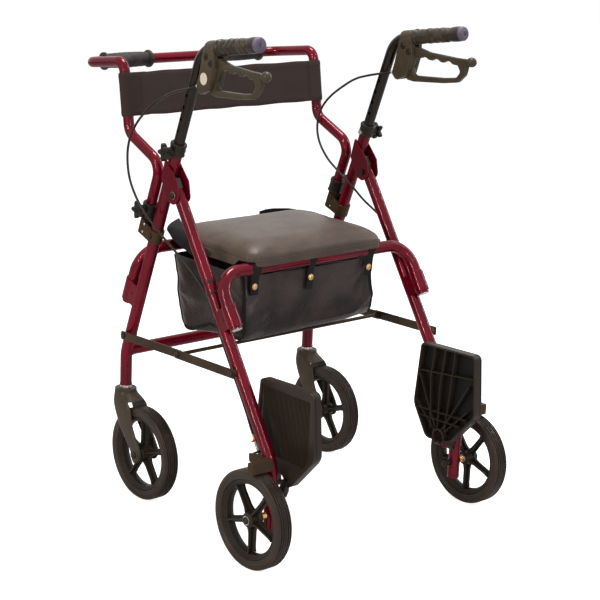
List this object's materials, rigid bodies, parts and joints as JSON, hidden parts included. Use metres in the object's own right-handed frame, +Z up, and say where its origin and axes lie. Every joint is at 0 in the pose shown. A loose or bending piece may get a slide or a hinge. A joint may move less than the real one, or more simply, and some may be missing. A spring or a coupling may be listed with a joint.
{
  "type": "rollator wheelchair",
  "caption": "Folding rollator that turns into a transport chair, with padded seat over a bag, back strap with push bar, hand brakes and swing-up footplates.",
  "frame": {"origin": "floor level under the middle of the bounding box", "axes": "+Z up, +Y towards the casters, backrest and push bar, -Y towards the braked wheels, grips and footplates, +X to the right of someone who looks along +Y"},
  "size_m": [0.651, 0.7688, 1.0199],
  "materials": {
    "burgundy_paint": "glossy metallic burgundy paint",
    "black_plastic": "satin black plastic",
    "grip_rubber": "matt black rubber",
    "foam": "black foam sleeve",
    "tyre_rubber": "dark grey rubber",
    "steel": "zinc plated steel",
    "black_steel": "satin black paint",
    "vinyl": "dark grained vinyl over foam",
    "bag_cloth": "black coated cloth",
    "webbing": "brownish black webbing",
    "cable_black": "black cable sheath"
  },
  "bodies": {
    "frame": {"front_leg_left": "burgundy_paint", "front_leg_right": "burgundy_paint", "pivot_bolt_left": "steel", "pivot_bolt_right": "steel", "handle_collar_left": "black_plastic", "handle_collar_right": "black_plastic", "backrest_bracket_left": "black_steel", "backrest_bracket_right": "black_steel", "backrest_collar_left": "black_plastic", "backrest_collar_right": "black_plastic", "front_crossbar": "burgundy_paint", "seat_tube_front": "burgundy_paint", "bag": "bag_cloth"},
    "rear_frame": {"rear_leg_left": "burgundy_paint", "rear_leg_right": "burgundy_paint", "rear_axle_left": "steel", "rear_axle_right": "steel", "brake_spring_left": "steel", "brake_spring_right": "steel", "brake_cable_left": "cable_black", "brake_cable_right": "cable_black", "seat_tube_rear": "burgundy_paint"},
    "front_links": {"front_link_left": "black_steel", "front_link_right": "black_steel", "link_rod": "black_steel"},
    "rear_links": {"rear_link_left": "black_steel", "rear_link_right": "black_steel"},
    "seat": {"seat_cushion": "vinyl"},
    "backrest": {"backrest_tube": "burgundy_paint", "back_strap": "webbing", "push_grip_left": "foam", "push_grip_right": "foam"},
    "handle_left": {"handle_tube_left": "black_steel", "grip_left": "grip_rubber", "brake_housing_left": "black_plastic"},
    "lever_left": {"brake_lever_left": "black_plastic"},
    "shoe_left": {"brake_shoe_left": "black_steel"},
    "height_knob_left": {"handle_knob_left": "black_plastic"},
    "back_knob_left": {"backrest_knob_left": "black_plastic"},
    "fork_left": {"caster_fork_left": "black_plastic", "caster_axle_left": "steel"},
    "front_wheel_left": {"caster_wheel_left": "black_plastic", "caster_tyre_left": "tyre_rubber"},
    "braked_wheel_left": {"rear_wheel_left": "black_plastic", "rear_tyre_left": "tyre_rubber"},
    "plate_left": {"footplate_left": "black_plastic"},
    "handle_right": {"handle_tube_right": "black_steel", "grip_right": "grip_rubber", "brake_housing_right": "black_plastic"},
    "lever_right": {"brake_lever_right": "black_plastic"},
    "shoe_right": {"brake_shoe_right": "black_steel"},
    "height_knob_right": {"handle_knob_right": "black_plastic"},
    "back_knob_right": {"backrest_knob_right": "black_plastic"},
    "fork_right": {"caster_fork_right": "black_plastic", "caster_axle_right": "steel"},
    "front_wheel_right": {"caster_wheel_right": "black_plastic", "caster_tyre_right": "tyre_rubber"},
    "braked_wheel_right": {"rear_wheel_right": "black_plastic", "rear_tyre_right": "tyre_rubber"},
    "plate_right": {"footplate_right": "black_plastic"}
  },
  "joints": [
    {"name": "fold", "type": "hinge", "parent": "frame", "child": "rear_frame", "pos_m": [0, 0.0315, 0.678], "axis": [1, 0, 0], "range_deg": [0, 26], "deforming": ["bag", "brake_cable_left", "brake_cable_right"]},
    {"name": "front_link_turn", "type": "hinge", "parent": "frame", "child": "front_links", "pos_m": [0, 0.1895, 0.349], "axis": [1, 0, 0], "range_deg": [-36, 0]},
    {"name": "rear_link_turn", "type": "hinge", "parent": "rear_frame", "child": "rear_links", "pos_m": [0, -0.1775, 0.3622], "axis": [1, 0, 0], "range_deg": [0, 48]},
    {"name": "seat_flip", "type": "hinge", "parent": "frame", "child": "seat", "pos_m": [0, 0.15815, 0.54], "axis": [-1, 0, 0], "range_deg": [0, 75]},
    {"name": "backrest_height", "type": "slide", "parent": "frame", "child": "backrest", "axis": [0, -0.3354, 0.9421], "range_m": [0, 0.04]},
    {"name": "handle_height_left", "type": "slide", "parent": "frame", "child": "handle_left", "axis": [0, -0.3354, 0.9421], "range_m": [-0.077, 0.051], "deforming": ["brake_cable_left"]},
    {"name": "brake_left", "type": "hinge", "parent": "handle_left", "child": "lever_left", "pos_m": [-0.26188, -0.08237, 0.95505], "axis": [-0.9973, 0.069, 0.0246], "range_deg": [0, 10], "stiffness_Nm_per_rad": 0.8, "springref_deg": -5.73},
    {"name": "shoe_turn_left", "type": "hinge", "parent": "rear_frame", "child": "shoe_left", "pos_m": [-0.2735, -0.2705, 0.21], "axis": [1, 0, 0], "range_deg": [-0.02, 3.05]},
    {"name": "height_knob_turn_left", "type": "hinge", "parent": "frame", "child": "height_knob_left", "pos_m": [-0.258, 0.04159, 0.7645], "axis": [1, 0, 0], "continuous": true},
    {"name": "back_knob_turn_left", "type": "hinge", "parent": "frame", "child": "back_knob_left", "pos_m": [-0.258, 0.12819, 0.63264], "axis": [1, 0, 0], "continuous": true},
    {"name": "swivel_left", "type": "hinge", "parent": "frame", "child": "fork_left", "pos_m": [-0.258, 0.2045, 0.2312], "axis": [0, 0, 1], "continuous": true},
    {"name": "caster_roll_left", "type": "hinge", "parent": "fork_left", "child": "front_wheel_left", "pos_m": [-0.258, 0.1325, 0.1], "axis": [1, 0, 0], "continuous": true},
    {"name": "rear_roll_left", "type": "hinge", "parent": "rear_frame", "child": "braked_wheel_left", "pos_m": [-0.3015, -0.2845, 0.1], "axis": [1, 0, 0], "continuous": true},
    {"name": "plate_turn_left", "type": "hinge", "parent": "rear_frame", "child": "plate_left", "pos_m": [-0.2355, -0.2745, 0.14], "axis": [0, 1, 0], "range_deg": [0, 90]},
    {"name": "handle_height_right", "type": "slide", "parent": "frame", "child": "handle_right", "axis": [0, -0.3354, 0.9421], "range_m": [-0.077, 0.051], "deforming": ["brake_cable_right"]},
    {"name": "brake_right", "type": "hinge", "parent": "handle_right", "child": "lever_right", "pos_m": [0.26188, -0.08237, 0.95505], "axis": [-0.9973, -0.069, -0.0246], "range_deg": [0, 10], "stiffness_Nm_per_rad": 0.8, "springref_deg": -5.73},
    {"name": "shoe_turn_right", "type": "hinge", "parent": "rear_frame", "child": "shoe_right", "pos_m": [0.2735, -0.2705, 0.21], "axis": [1, 0, 0], "range_deg": [-0.02, 3.05]},
    {"name": "height_knob_turn_right", "type": "hinge", "parent": "frame", "child": "height_knob_right", "pos_m": [0.258, 0.04159, 0.7645], "axis": [1, 0, 0], "continuous": true},
    {"name": "back_knob_turn_right", "type": "hinge", "parent": "frame", "child": "back_knob_right", "pos_m": [0.258, 0.12819, 0.63264], "axis": [1, 0, 0], "continuous": true},
    {"name": "swivel_right", "type": "hinge", "parent": "frame", "child": "fork_right", "pos_m": [0.258, 0.2045, 0.2312], "axis": [0, 0, 1], "continuous": true},
    {"name": "caster_roll_right", "type": "hinge", "parent": "fork_right", "child": "front_wheel_right", "pos_m": [0.258, 0.1325, 0.1], "axis": [1, 0, 0], "continuous": true},
    {"name": "rear_roll_right", "type": "hinge", "parent": "rear_frame", "child": "braked_wheel_right", "pos_m": [0.3015, -0.2845, 0.1], "axis": [1, 0, 0], "continuous": true},
    {"name": "plate_turn_right", "type": "hinge", "parent": "rear_frame", "child": "plate_right", "pos_m": [0.2355, -0.2745, 0.14], "axis": [0, -1, 0], "range_deg": [0, 90]}
  ],
  "couplings": [
    {"joint": "front_link_turn", "follows": "fold", "ratio": -1.3642},
    {"joint": "rear_link_turn", "follows": "fold", "ratio": 1.819},
    {"joint": "shoe_turn_left", "follows": "brake_left", "ratio": 0.3},
    {"joint": "shoe_turn_right", "follows": "brake_right", "ratio": 0.3}
  ]
}
